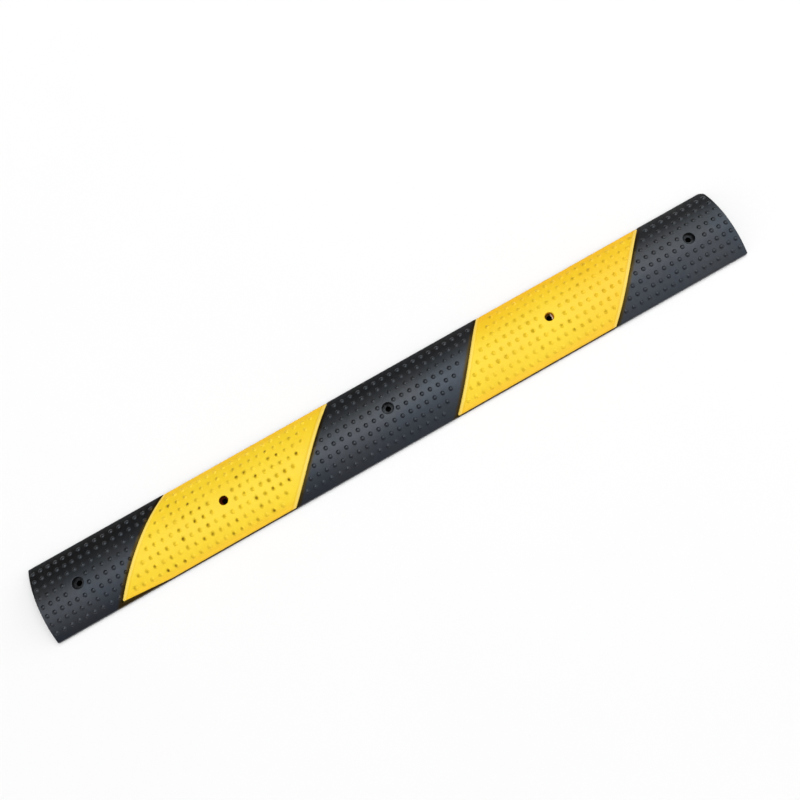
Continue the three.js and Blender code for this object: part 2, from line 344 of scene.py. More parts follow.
class Build:
    """Vertices in millimetres, their normals where known, and faces."""

    def __init__(self):
        self.points, self.faces, self.normals = [], [], []

    def add(self, point, normal=None):
        self.points.append(tuple(float(c) for c in point))
        self.normals.append(None if normal is None else tuple(float(c) for c in normal))
        return len(self.points) - 1

    def face(self, corners, flip):
        self.faces.append(tuple(corners)[::-1] if flip else tuple(corners))

    def strip(self, first, second):
        """Quads between two closed rows of vertices of the same length."""
        for i in range(len(first)):
            j = (i + 1) % len(first)
            self.faces.append((first[i], first[j], second[j], second[i]))

    def start(self, sheet, slope_at, outline=None):
        """Put a sheet in first, so that its points keep their numbers."""
        for (x, arc), height, known in zip(sheet.points, sheet.heights, sheet.known):
            normal = outward(arc, 0, slope_at(arc)) if known else None
            self.add(place(x, arc, height), normal)
        self.faces += [tuple(int(i) for i in t) for t in sheet.triangles(outline)]

    def bore(self, row, hole_x, steps):
        """Rings down a bolt hole from a row of vertices. A step is a radius, "height" above the
        arch or "z", and its value."""
        for radius, kind, level in steps:
            last, row = row, []
            for x, y in ring(hole_x, 0, radius, HOLE_SEGMENTS):
                row.append(self.add(place(x, y, level) if kind == "height" else (x, y, level)))
            self.strip(last, row)
        return row

    def object(self, name, material, sharp=38.0, round_corner=False):
        points = np.array(self.points, float)
        if round_corner:
            # push the far right corner in to a rounded one, as seen from above
            centre_x, centre_y = LENGTH / 2 - CORNER_R, HALF_WIDTH - CORNER_R
            dx, dy = points[:, 0] - centre_x, points[:, 1] - centre_y
            beyond = (dx > 0) & (dy > 0)
            dx, dy = dx[beyond], dy[beyond]
            share = np.maximum(dx, dy) / np.hypot(dx, dy)
            points[beyond, 0] = centre_x + dx * share
            points[beyond, 1] = centre_y + dy * share
        mesh = bpy.data.meshes.new(name)
        mesh.from_pydata((points / 1000).tolist(), [], self.faces)
        mesh.validate(clean_customdata=False)
        mesh.update()
        for polygon in mesh.polygons:
            polygon.use_smooth = True
        mesh.set_sharp_from_angle(angle=math.radians(sharp))
        self.set_normals(mesh)
        obj = bpy.data.objects.new(name, mesh)
        bpy.context.scene.collection.objects.link(obj)
        obj.data.materials.append(material)
        return obj

    def set_normals(self, mesh):
        """Use the known normals where they agree with the face's own side."""
        count = len(mesh.loops)
        normals = np.zeros(count * 3, np.float32)
        mesh.corner_normals.foreach_get("vector", normals)
        normals = normals.reshape(-1, 3)
        vertex = np.zeros(count, np.int32)
        mesh.loops.foreach_get("vertex_index", vertex)
        known = np.array([n is not None for n in self.normals])[vertex]
        given = np.array([(0, 0, 0) if n is None else n for n in self.normals], np.float32)[vertex]
        use = known & ((given * normals).sum(1) > 0.6)
        normals[use] = given[use]
        mesh.normals_split_custom_set(normals.tolist())


# ---- Studs ----
def cap_height(radius):
    return math.sqrt(DOME_R**2 - radius * radius) - (DOME_R - STUD_H)


def cap_slope(radius):
    return -radius / math.sqrt(DOME_R**2 - radius * radius)


def dome(radius):
    """Height and slope of a stud at a radius."""
    if radius <= FILLET_R:
        return cap_height(radius), cap_slope(radius)
    # the fillet is a cubic from the cap down to a level foot
    top, lean, width = cap_height(FILLET_R), cap_slope(FILLET_R), STUD_R - FILLET_R
    t = (radius - FILLET_R) / width
    height = (2 * t**3 - 3 * t**2 + 1) * top + (t**3 - 2 * t**2 + t) * width * lean
    slope = ((6 * t**2 - 6 * t) * top + (3 * t**2 - 4 * t + 1) * width * lean) / width
    return height, slope


def add_stud(build, last, stud_x, stud_arc, lift, slope_at, width=1.0):
    """Rings of a stud inside its outer ring of vertices. lift(x, arc) gives the surface's own
    height there and whether slope_at(arc) is its whole slope. width scales the radius."""
    tall = 1 + STUD_VARIATION * rng.standard_normal()
    for radius in STUD_RINGS:
        height, slope = dome(radius)
        height, slope, radius = height * tall, slope * tall / width, radius * width
        row = []
        for i in range(STUD_SEGMENTS):
            angle = 2 * math.pi * i / STUD_SEGMENTS
            cosine, sine = math.cos(angle), math.sin(angle)
            x, arc = stud_x + radius * cosine, stud_arc + radius * sine
            up, known = lift(x, arc)
            normal = outward(arc, slope * cosine, slope * sine + slope_at(arc)) if known else None
            row.append(build.add(place(x, arc, up + height), normal))
        build.strip(last, row)
        last = row
    up, _ = lift(stud_x, stud_arc)
    apex = place(stud_x, stud_arc, up + STUD_H * tall)
    top = build.add(apex, outward(stud_arc, 0, slope_at(stud_arc)))
    for i in range(STUD_SEGMENTS):
        build.faces.append((last[i], last[(i + 1) % STUD_SEGMENTS], top))


# ---- Panel outlines ----
def side_x(coefficients, arc):
    base, slope, bend = coefficients
    return base + slope * arc + bend * arc * arc


def inset_x(panel, side, arc, inset):
    """x of a slanted side moved inwards, at an arc position."""
    line = panel[side]
    lean = side_x(line, arc + 0.5) - side_x(line, arc - 0.5)
    return side_x(line, arc) + INWARD[side] * inset * math.sqrt(1 + lean * lean)


def cut_corner(panel, inset, low):
    """The cut across the near left corner, moved inwards: its arc at an x, its outward normal,
    the arc where it meets the left side and the x where it meets the arc low."""
    tip_arc, end_x = panel["corner"]
    tip_x = side_x(panel["left"], tip_arc)
    lean = (-PANEL_EDGE - tip_arc) / (end_x - tip_x)
    stretch = math.sqrt(1 + lean * lean)

    def cut_arc(x):
        return tip_arc + lean * (x - tip_x) + inset * stretch

    def off_side(arc):
        return arc - cut_arc(inset_x(panel, "left", arc, inset))

    side_arc = bisect(off_side, tip_arc - 3, tip_arc + 12)
    foot_x = bisect(lambda x: cut_arc(x) - low, tip_x - 5, end_x + 80)
    return cut_arc, (lean / stretch, -1 / stretch), side_arc, foot_x


def stations(start, end, step):
    return np.linspace(start, end, max(2, int(abs(end - start) / step) + 1))


def slanted_side(panel, side, inset, start, end):
    rows = []
    for arc in stations(start, end, 2.0):
        ahead, behind = [inset_x(panel, side, arc + step, inset) for step in (0.3, -0.3)]
        normal_x, normal_arc = 0.6, -(ahead - behind)
        size = -INWARD[side] * math.hypot(normal_x, normal_arc)
        rows.append((inset_x(panel, side, arc, inset), arc, normal_x / size, normal_arc / size))
    return rows


def level_side(start_x, end_x, arc, normal_arc):
    return [(x, arc, 0.0, normal_arc) for x in stations(start_x, end_x, 4.0)]


def sharp_sides(panel, inset):
    """The outline's sides, anticlockwise, as rows of x, arc and the outward normal's two parts."""
    low, high = -PANEL_EDGE + inset, PANEL_EDGE - inset
    left_x = lambda arc: inset_x(panel, "left", arc, inset)
    right_x = lambda arc: inset_x(panel, "right", arc, inset)
    sides = [
        slanted_side(panel, "right", inset, low, high),
        level_side(right_x(high), left_x(high), high, 1.0),
    ]
    if panel["corner"]:
        cut_arc, normal, side_arc, foot_x = cut_corner(panel, inset, low)
        sides.append(slanted_side(panel, "left", inset, high, side_arc))
        sides.append([(x, cut_arc(x), *normal) for x in stations(left_x(side_arc), foot_x, 4.0)])
    else:
        foot_x = left_x(low)
        sides.append(slanted_side(panel, "left", inset, high, low))
    sides.append(level_side(foot_x, right_x(low), low, -1.0))
    return sides


def outline(panel, inset):
    """Points of the outline moved inwards, with rounded corners."""
    radius = PANEL_CORNER_R
    sides = sharp_sides(panel, inset + radius)
    points = []
    for i, side in enumerate(sides):
        points += [(x + nx * radius, arc + na * radius) for x, arc, nx, na in side]
        after = sides[(i + 1) % len(sides)][0]
        x, arc, normal_x, normal_arc = side[-1]
        start, end = math.atan2(normal_arc, normal_x), math.atan2(after[3], after[2])
        while end < start:
            end += 2 * math.pi
        count = int((end - start) / math.radians(22))
        for k in range(1, count + 1):
            angle = start + (end - start) * k / (count + 1)
            points.append((x + math.cos(angle) * radius, arc + math.sin(angle) * radius))
    spaced = [points[0]]
    for point in points[1:]:
        if math.dist(point, spaced[-1]) > 0.05:
            spaced.append(point)
    if math.dist(spaced[0], spaced[-1]) < 0.05:
        spaced.pop()
    return spaced


# ---- Yellow panels ----
def rim(distance):
    """Height of the raised border at distances from the panel's edge."""
    t = np.clip((np.asarray(distance, float) - RIM_IN) / (RIM_OUT - RIM_IN), 0, 1)
    return RIM * (1 - t * t * (3 - 2 * t))


def panel_edge_rings(sheet, panel):
    """The rounded top edge as closed lines, outermost first."""
    rings = []
    for inset in EDGE_INSETS:
        drop = EDGE_ROUND - math.sqrt(max(0.0, EDGE_ROUND**2 - (EDGE_ROUND - inset) ** 2))
        points = outline(panel, inset)
        heights = [raise_at(arc) + RIM - drop for _, arc in points]
        rings.append(sheet.line(points, closed=True, heights=heights, known=False))
    return rings


def fill_panel_top(sheet, panel, outer, inner):
    border = np.concatenate([resample(outline(panel, inset), 1.7) for inset in BORDER_INSETS])
    xs = [x for x, _ in outer]
    fill = filler(min(xs), max(xs), ARC_EDGE, 3.6)
    fill = fill[inside_poly(*fill.T, inner)]
    fill = fill[line_distance(*fill.T, outer) > RIM_OUT + 0.9]
    for x, arc in clear_of(np.concatenate([border, fill]), 0.5, sheet.holes):
        sheet.point(x, arc)


def add_panel_underside(build, outer, hole_x, bore):
    """The underside, joined to the bottom ring of the bore and the outermost edge ring."""
    low = Sheet(lambda arc: -depth_at(arc) + SEAT_GAP)
    rim_ids = low.line(outer, closed=True)
    bore_ids = low.hole(hole_x, 0, COLLAR_R, HOLE_SEGMENTS)
    xs = [x for x, _ in outer]
    fill = filler(min(xs), max(xs), ARC_EDGE, 11)
    fill = fill[inside_poly(*fill.T, outer)]
    for x, arc in clear_of(fill, 2.5, low.holes, [outer + outer[:1]]):
        low.point(x, arc)
    names = dict(zip(bore_ids, bore))
    for i, ((x, arc), height) in enumerate(zip(low.points, low.heights)):
        if i not in names:
            names[i] = build.add(place(x, arc, height))
    for i, j, k in low.triangles(outer):
        build.faces.append((names[i], names[k], names[j]))
    build.strip([names[i] for i in rim_ids], list(range(len(outer))))


def build_panel(key, material):
    panel = PANELS[key]
    studs = stud_list(panel["run"])
    hole_x = next(h for h in HOLES if side_x(panel["left"], 0) < h < side_x(panel["right"], 0))
    sheet = Sheet(raise_at)
    rings = panel_edge_rings(sheet, panel)
    outer, inner = [[sheet.points[i] for i in rings[end]] for end in (0, -1)]
    stud_rings = [sheet.hole(x, arc, STUD_R, STUD_SEGMENTS) for x, arc in studs]
    mouth = sheet.hole(hole_x, 0, PANEL_HOLE_R + PANEL_MOUTH_OUT, HOLE_SEGMENTS)
    fill_panel_top(sheet, panel, outer, inner)
    from_edge = line_distance(*np.array(sheet.points).T, outer)
    for i in range(sum(map(len, rings)), len(from_edge)):
        sheet.heights[i] = raise_at(sheet.points[i][1]) + float(rim(from_edge[i]))
        sheet.known[i] = from_edge[i] > RIM_OUT + 0.1

    build = Build()
    build.start(sheet, raise_slope, outer)

    def plain_lift(x, arc):
        return raise_at(arc), True

    def border_lift(x, arc):
        distance = point_distance(x, arc, outer)
        return raise_at(arc) + float(rim(distance)), distance > RIM_OUT

    for (x, arc), row in zip(studs, stud_rings):
        lift = plain_lift if min(from_edge[i] for i in row) > RIM_OUT else border_lift
        add_stud(build, row, x, arc, lift, raise_slope)

    foot = WASHER_TOP + 0.3
    steps = [(PANEL_HOLE_R + out, "height", RAISE - drop) for out, drop in PANEL_MOUTH]
    steps += [(PANEL_HOLE_R, "z", z) for z in (CREST_Z - 2.2, CREST_Z - 4.0, foot + 0.2)]
    steps += [
        (PANEL_HOLE_R + 0.2, "z", foot),
        (COLLAR_R - 0.2, "z", foot),
        (COLLAR_R, "z", foot + 0.2),
        (COLLAR_R, "height", -RECESS + SEAT_GAP),
    ]
    bore = build.bore(mouth, hole_x, steps)
    add_panel_underside(build, outer, hole_x, bore)
    return build.object("yellow_rubber_%s" % key, material)


# ---- Black base ----
def wall_line(panel, side, grow):
    """A line along a panel's side, moved outwards, as (x, arc) from the near lip to the far."""
    cut, start, count = [], -TOP_EDGE, 46
    if side == "left" and panel["corner"]:
        cut_arc, _, start, foot_x = cut_corner(panel, -grow, -TOP_EDGE)
        start_x = inset_x(panel, side, start, -grow)
        xs = np.linspace(foot_x, start_x, int((foot_x - start_x) / 4))
        cut = [(foot_x, -TOP_EDGE)] + [(x, cut_arc(x)) for x in xs[1:-1]]
        count = 44
    arcs = np.linspace(start, TOP_EDGE, count)
    return cut + [(inset_x(panel, side, arc, -grow), arc) for arc in arcs]


def add_recess_walls(sheet, long_edges):
    """The walls' lines, four to a wall, outermost first."""
    walls = []
    for panel in PANELS.values():
        for side in ("left", "right"):
            for beyond, height in WALL_PROFILE:
                line = wall_line(panel, side, SIDE_GAP + beyond)
                heights = [-depth_at(arc) if height is None else height for _, arc in line]
                ids = sheet.line(line, heights=heights, known=False)
                long_edges[-1].append((line[0][0], ids[0]))
                long_edges[1].append((line[-1][0], ids[-1]))
                walls.append(line)
    return walls


def add_top_border(sheet, long_edges, in_recess):
    """Points along the top's long edges and ends. Returns the rows at the two ends."""
    for sign, row in long_edges.items():
        taken = [x for x, _ in row]
        for x in np.linspace(-END_X, END_X, 201):
            if any(abs(x - wall_x) < 1.2 for wall_x in taken):
                continue
            sunk = in_recess(x, sign * TOP_EDGE)
            height = -depth_at(TOP_EDGE) if sunk else 0.0
            row.append((float(x), sheet.point(float(x), sign * TOP_EDGE, height, not sunk)))
        row.sort()
        sheet.edges += [(here[1], after[1]) for here, after in zip(row, row[1:])]
    ends = {}
    for sign, at in ((-1, 0), (1, -1)):
        row = [long_edges[-1][at][1]]
        for arc in np.linspace(-TOP_EDGE, TOP_EDGE, 31)[1:-1]:
            row.append(sheet.point(sign * END_X, float(arc), 0.0))
        row.append(long_edges[1][at][1])
        sheet.edges += zip(row, row[1:])
        ends[sign] = row
    return ends


def fit_stud(x, arc, walls):
    """A stud that would run into a recess wall stands a little off it and is a little narrower:
    its x, and its width as a share."""
    room = lambda at: min(point_distance(at, arc, wall, False) for wall in walls)
    if room(x) >= STUD_R + 0.1:
        return x, 1.0
    side = 1 if room(x + 0.2) > room(x - 0.2) else -1
    x += side * min(0.7, STUD_R + 0.1 - room(x))
    return x, min(1.0, (room(x) - 0.1) / STUD_R)


def fill_base_top(sheet, recesses, studs, mouths, walls):
    fill = filler(-END_X, END_X, TOP_EDGE, 4.6)
    fill = fill[(np.abs(fill[:, 0]) < END_X - 1.2) & (np.abs(fill[:, 1]) < TOP_EDGE - 1.4)]
    fill = clear_of(fill, 1.5, [(x, arc, STUD_R) for x, arc in studs] + mouths, walls)
    sunk = np.zeros(len(fill), bool)
    for recess in recesses:
        sunk |= inside_poly(*fill.T, recess)
    # the recess floor needs fewer points
    keep = ~sunk | (rng.random(len(fill)) < 0.3)
    for (x, arc), low in zip(fill[keep], sunk[keep]):
        sheet.point(float(x), float(arc), -depth_at(arc) if low else 0.0, not low)


def base_bore_steps(sunk):
    """A rounded mouth where no panel covers the hole, then counterbore, washer slot and bolt."""
    steps = []
    if not sunk:
        steps = [(COUNTERBORE_R + out, "height", -drop) for out, drop in BASE_MOUTH]
        steps.append((COUNTERBORE_R, "z", CREST_Z - 1.7))
    return steps + [
        (COUNTERBORE_R, "z", WASHER_TOP + SLOT_GAP),
        (SLOT_R, "z", WASHER_TOP + SLOT_GAP),
        (SLOT_R, "z", WASHER_BOTTOM - SLOT_GAP),
        (BOLT_R, "z", WASHER_BOTTOM - SLOT_GAP),
        (BOLT_R, "z", 0.0),
    ]


def lip_profiles():
    """(y, z) down the lip and side, where the top is whole and where a recess cuts it."""
    centre_y, centre_z = HALF_WIDTH - LIP_ROUND, LIP_Z - LIP_TANGENT
    foot = [(HALF_WIDTH, SIDE_FOOT), (HALF_WIDTH - SIDE_FOOT, 0.0)]
    whole = [
        (centre_y + LIP_ROUND * math.sin(t), centre_z + LIP_ROUND * math.cos(t))
        for t in LIP_ANGLES
    ]
    whole += [(HALF_WIDTH, 1.9)] + foot
    floor_r = ARCH_R - depth_at(TOP_EDGE)
    floor_z = lambda y: ARCH_Z + math.sqrt(floor_r * floor_r - y * y)
    cut = [(y, floor_z(y)) for y in (HALF_WIDTH - 0.9, HALF_WIDTH - 0.25)]
    cut += [(HALF_WIDTH, floor_z(HALF_WIDTH) - 0.25), (HALF_WIDTH, 1.5)] + foot
    return whole, cut


def add_lip(build, sheet, row, sign):
    """The lip and upright side under a long edge, as columns of vertices from the top down."""
    whole, cut = lip_profiles()
    columns = []
    for x, top in row:
        share = min(1.0, max(0.0, -sheet.heights[top] / depth_at(TOP_EDGE)))
        column = [top]
        for (y0, z0), (y1, z1) in zip(whole, cut):
            y, z = y0 + (y1 - y0) * share, z0 + (z1 - z0) * share
            column.append(build.add((x, sign * y, z)))
        columns.append(column)
    for here, after in zip(columns, columns[1:]):
        for j in range(len(here) - 1):
            build.face((here[j], after[j], after[j + 1], here[j + 1]), flip=sign < 0)
    return columns


def add_end(build, near_column, top_row, far_column, sign):
    """A rounded end and its flat face. Returns its new bottom vertices, near and far."""
    loop = near_column[:0:-1] + top_row + far_column[1:]
    points = [build.points[i] for i in loop]
    side = [(math.sin(t), math.cos(t)) for t in LIP_ANGLES[:2]] + [(1, 0)] * 4
    top = points[len(side) : -len(side)]
    normals = [(-y, z) for y, z in side[::-1]]
    normals += [(y / ARCH_R, (z - ARCH_Z) / ARCH_R) for _, y, z in top] + side
    near, far = [], []
    for degrees in END_ANGLES:
        angle = math.radians(degrees)
        x = sign * (END_X + END_ROUND * math.sin(angle))
        inset = END_ROUND * (1 - math.cos(angle))
        row = []
        for (_, y, z), (normal_y, normal_z) in zip(points, normals):
            row.append(build.add((x, y - normal_y * inset, z - normal_z * inset)))
        for i in range(len(row) - 1):
            build.face((loop[i], loop[i + 1], row[i + 1], row[i]), flip=sign > 0)
        loop = row
        near.append(row[0])
        far.append(row[-1])
    build.face(loop, flip=sign > 0)
    return near, far


def pocket_boxes():
    """x0, x1, y0, y1 of the pockets, in rows between the bolt holes' bosses."""
    stops = [-LENGTH / 2 + END_WALL]
    stops += [x for hole_x in HOLES for x in (hole_x - BOSS_HALF, hole_x + BOSS_HALF)]
    stops.append(LENGTH / 2 - END_WALL)
    boxes = []
    for low, high in zip(stops[::2], stops[1::2]):
        count = max(1, round((high - low + RIB) / POCKET_PITCH))
        width = (high - low - (count - 1) * RIB) / count
        for k in range(count):
            x0 = low + k * (width + RIB)
            for sign in (-1, 1):
                boxes.append((x0, x0 + width, *sorted(y * sign for y in POCKET_Y)))
    return boxes


def rounded_box(x0, x1, y0, y1, inset):
    radius = max(POCKET_MIN_R, POCKET_CORNER_R - inset * 0.5)
    x0, x1 = x0 + inset + radius, x1 - inset - radius
    y0, y1 = y0 + inset + radius, y1 - inset - radius
    points = []
    for x, y, start in ((x1, y0, -90), (x1, y1, 0), (x0, y1, 90), (x0, y0, 180)):
        for k in range(6):
            angle = math.radians(start + 18 * k)
            points.append((x + radius * math.cos(angle), y + radius * math.sin(angle)))
    return points


def add_pocket(build, box):
    rows = []
    for z, inset in POCKET_PROFILE:
        rows.append([build.add((x, y, z)) for x, y in rounded_box(*box, inset)])
    for upper, lower in zip(rows[1:], rows):
        build.strip(upper, lower)
    build.face(rows[-1], flip=True)
    return rows[0]


def add_underside(build, border, bolt_rings):
    """The flat bottom inside its border, around the bolt holes and the pockets."""
    loops = [border, *bolt_rings] + [add_pocket(build, box) for box in pocket_boxes()]
    names, edges = [], []
    for loop in loops:
        start, count = len(names), len(loop)
        names += loop
        edges += [(start + i, start + (i + 1) % count) for i in range(count)]
    points = [build.points[i][:2] for i in names]
    triangles = np.array(cdt(points, edges))
    x, y = np.array(points)[triangles].mean(1).T
    plans = [[build.points[i][:2] for i in loop] for loop in loops]
    keep = inside_poly(x, y, plans[0])
    for plan in plans[1:]:
        keep &= ~inside_poly(x, y, plan)
    build.faces += [(names[i], names[k], names[j]) for i, j, k in triangles[keep]]


def build_base(material):
    recesses = [
        wall_line(panel, "left", SIDE_GAP) + wall_line(panel, "right", SIDE_GAP)[::-1]
        for panel in PANELS.values()
    ]

    def in_recess(x, arc):
        at = np.array([x]), np.array([arc * 0.9999])
        return any(inside_poly(*at, recess)[0] for recess in recesses)

    sheet = Sheet(lambda arc: 0.0)
    long_edges = {-1: [], 1: []}  # near and far: (x, vertex) along the top's edge
    walls = add_recess_walls(sheet, long_edges)
    ends = add_top_border(sheet, long_edges, in_recess)

    studs, widths, stud_rings = [], [], []
    for x, arc in stud_list():
        x, width = fit_stud(x, arc, walls[:: len(WALL_PROFILE)])
        studs.append((x, arc))
        widths.append(width)
        stud_rings.append(sheet.hole(x, arc, STUD_R * width, STUD_SEGMENTS))
    mouths, mouth_circles = [], []
    for hole_x in HOLES:
        sunk = in_recess(hole_x, 0.0)
        radius = COUNTERBORE_R if sunk else COUNTERBORE_R + BASE_MOUTH_OUT
        heights = [-depth_at(0) if sunk else 0.0] * HOLE_SEGMENTS
        row = sheet.hole(hole_x, 0, radius, HOLE_SEGMENTS, heights, not sunk)
        mouths.append((hole_x, row, sunk))
        mouth_circles.append((hole_x, 0, radius))
    fill_base_top(sheet, recesses, studs, mouth_circles, walls)

    build = Build()
    build.start(sheet, lambda arc: 0.0)
    for (x, arc), row, width in zip(studs, stud_rings, widths):
        add_stud(build, row, x, arc, lambda x, arc: (0.0, True), lambda arc: 0.0, width)
    bolt_rings = [build.bore(row, x, base_bore_steps(sunk)) for x, row, sunk in mouths]
    near, far = [add_lip(build, sheet, row, sign) for sign, row in long_edges.items()]
    left_near, left_far = add_end(build, near[0], ends[-1], far[0], -1)
    right_near, right_far = add_end(build, near[-1], ends[1], far[-1], 1)
    border = [column[-1] for column in near] + right_near + right_far[::-1]
    border += [column[-1] for column in far[::-1]] + left_far + left_near[::-1]
    add_underside(build, border, bolt_rings)
    return build.object("black_rubber_body", material, round_corner=True)


# ---- Washers ----
def build_washer(number, x, material):
    low, high = WASHER_BOXES[number - 1]
    bottom, top = low.z * 1000, high.z * 1000
    inner, outer, bevel = WASHER_BORE_R, WASHER_R, WASHER_BEVEL
    profile = [  # radius, z
        (inner + bevel, top), (inner + 0.6, top), (outer * 0.6, top),
        (outer - bevel - 0.3, top), (outer - bevel, top), (outer, top - bevel),
        (outer, bottom + bevel), (outer - bevel, bottom), (outer * 0.6, bottom),
        (inner + bevel, bottom), (inner, bottom + bevel), (inner, top - bevel),
    ]
    build = Build()
    rows = []
    for radius, z in profile:
        rows.append([build.add((px, py, z)) for px, py in ring(x, 0, radius, 64)])
    for here, after in zip(rows, rows[1:] + rows[:1]):
        build.strip(after, here)
    return build.object("steel_washer_%d" % number, material, sharp=30)


# ---- Materials ----
class Nodes:
    """A material with a Principled shader. Textures use object coordinates, in metres."""

    def __init__(self, name):
        self.material = bpy.data.materials.new(name)
        self.material.use_nodes = True
        self.tree = self.material.node_tree
        self.tree.nodes.clear()
        output = self.node("OutputMaterial")
        self.shader = self.node("BsdfPrincipled")
        self.tree.links.new(self.shader.outputs[0], output.inputs[0])
        self.coord = self.node("TexCoord").outputs["Object"]

    def node(self, kind):
        return self.tree.nodes.new("ShaderNode" + kind)

    def set(self, socket, value):
        """Link an output, or set a number or an RGB colour."""
        if isinstance(value, bpy.types.NodeSocket):
            self.tree.links.new(value, socket)
        else:
            socket.default_value = (*value, 1) if isinstance(value, tuple) else value

    def put(self, name, value):
        self.set(self.shader.inputs[name], value)

    def noise(self, scale, detail, roughness=0.5):
        node = self.node("TexNoise")
        node.inputs["Scale"].default_value = scale
        node.inputs["Detail"].default_value = detail
        node.inputs["Roughness"].default_value = roughness
        self.set(node.inputs["Vector"], self.coord)
        return node.outputs["Fac"]

    def voronoi(self, scale):
        node = self.node("TexVoronoi")
        node.inputs["Scale"].default_value = scale
        self.set(node.inputs["Vector"], self.coord)
        return node.outputs["Distance"]

    def math(self, operation, first, second=0.0, third=0.0, clamp=False):
        node = self.node("Math")
        node.operation = operation
        node.use_clamp = clamp
        for i, value in enumerate((first, second, third)):
            self.set(node.inputs[i], value)
        return node.outputs[0]

    def plus(self, first, second):
        return self.math("ADD", first, second)

    def times(self, value, by):
        return self.math("MULTIPLY", value, by)

    def times_plus(self, value, factor, offset, clamp=False):
        return self.math("MULTIPLY_ADD", value, factor, offset, clamp)

    def average(self, first, second, share):
        """share of the first and the rest of the second."""
        return self.plus(self.times(first, share), self.times(second, 1 - share))

    def within(self, value, limit):
        return self.math("LESS_THAN", self.math("ABSOLUTE", value), limit)

    def remap(self, value, span, to=(0.0, 1.0), kind="LINEAR"):
        node = self.node("MapRange")
        node.interpolation_type = kind
        for i, number in enumerate((value, *span, *to)):
            self.set(node.inputs[i], number)
        return node.outputs[0]

    def ease(self, value, span, to=(0.0, 1.0)):
        return self.remap(value, span, to, "SMOOTHSTEP")

    def mix(self, factor, first, second):
        node = self.node("Mix")
        node.data_type = "RGBA"
        self.set(node.inputs["Factor"], factor)
        self.set(node.inputs[6], first)
        self.set(node.inputs[7], second)
        return node.outputs[2]

    def bump(self, height, strength, distance, normal=None):
        node = self.node("Bump")
        node.inputs["Strength"].default_value = strength
        node.inputs["Distance"].default_value = distance
        self.set(node.inputs["Height"], height)
        if normal is not None:
            self.set(node.inputs["Normal"], normal)
        return node.outputs[0]

    def attribute(self, name):
        node = self.node("Attribute")
        node.attribute_name = name
        return node.outputs["Fac"]

    def axes(self):
        node = self.node("SeparateXYZ")
        self.set(node.inputs[0], self.coord)
        return node.outputs

    def from_arch_centre(self, axes):
        """Y and Z from the arch's centre line, in millimetres."""
        return self.times(axes[1], 1000.0), self.times_plus(axes[2], 1000.0, -ARCH_Z)

    def height(self):
        """Height above the developed arch in millimetres."""
        y, z = self.from_arch_centre(self.axes())
        radius = self.math("SQRT", self.plus(self.times(y, y), self.times(z, z)))
        return self.math("SUBTRACT", radius, ARCH_R)

    def developed(self):
        """x and arc in millimetres, and how far inside a yellow panel's two slanted sides the
        surface is (negative outside them)."""
        axes = self.axes()
        x = self.times(axes[0], 1000.0)
        y, z = self.from_arch_centre(axes)
        arc = self.times(self.math("ARCTAN2", y, z), ARCH_R)
        inside = None
        for panel in PANELS.values():
            both = None
            for side, sign in INWARD.items():
                base, slope, bend = panel[side]
                line_x = self.times_plus(self.times_plus(arc, bend, slope), arc, base)
                lean = self.times_plus(arc, 2 * bend, slope)
                stretch = self.math("SQRT", self.times_plus(lean, lean, 1.0))
                across = self.times(self.math("SUBTRACT", x, line_x), sign)
                distance = self.math("DIVIDE", across, stretch)
                both = distance if both is None else self.math("MINIMUM", both, distance)
            inside = both if inside is None else self.math("MAXIMUM", inside, both)
        return x, arc, inside


def rubber_relief(mat, speck, lump_scale, lump_strength, grain_scale, grain_strength):
    """Soft lumps with a fine grain over them."""
    grain = mat.voronoi(grain_scale)
    normal = mat.bump(mat.noise(lump_scale, detail=3), lump_strength, distance=0.00022)
    grain = mat.plus(mat.times(grain, by=0.5), speck)
    mat.put("Normal", mat.bump(grain, grain_strength, distance=0.00010, normal=normal))
    mat.put("IOR", 1.5)


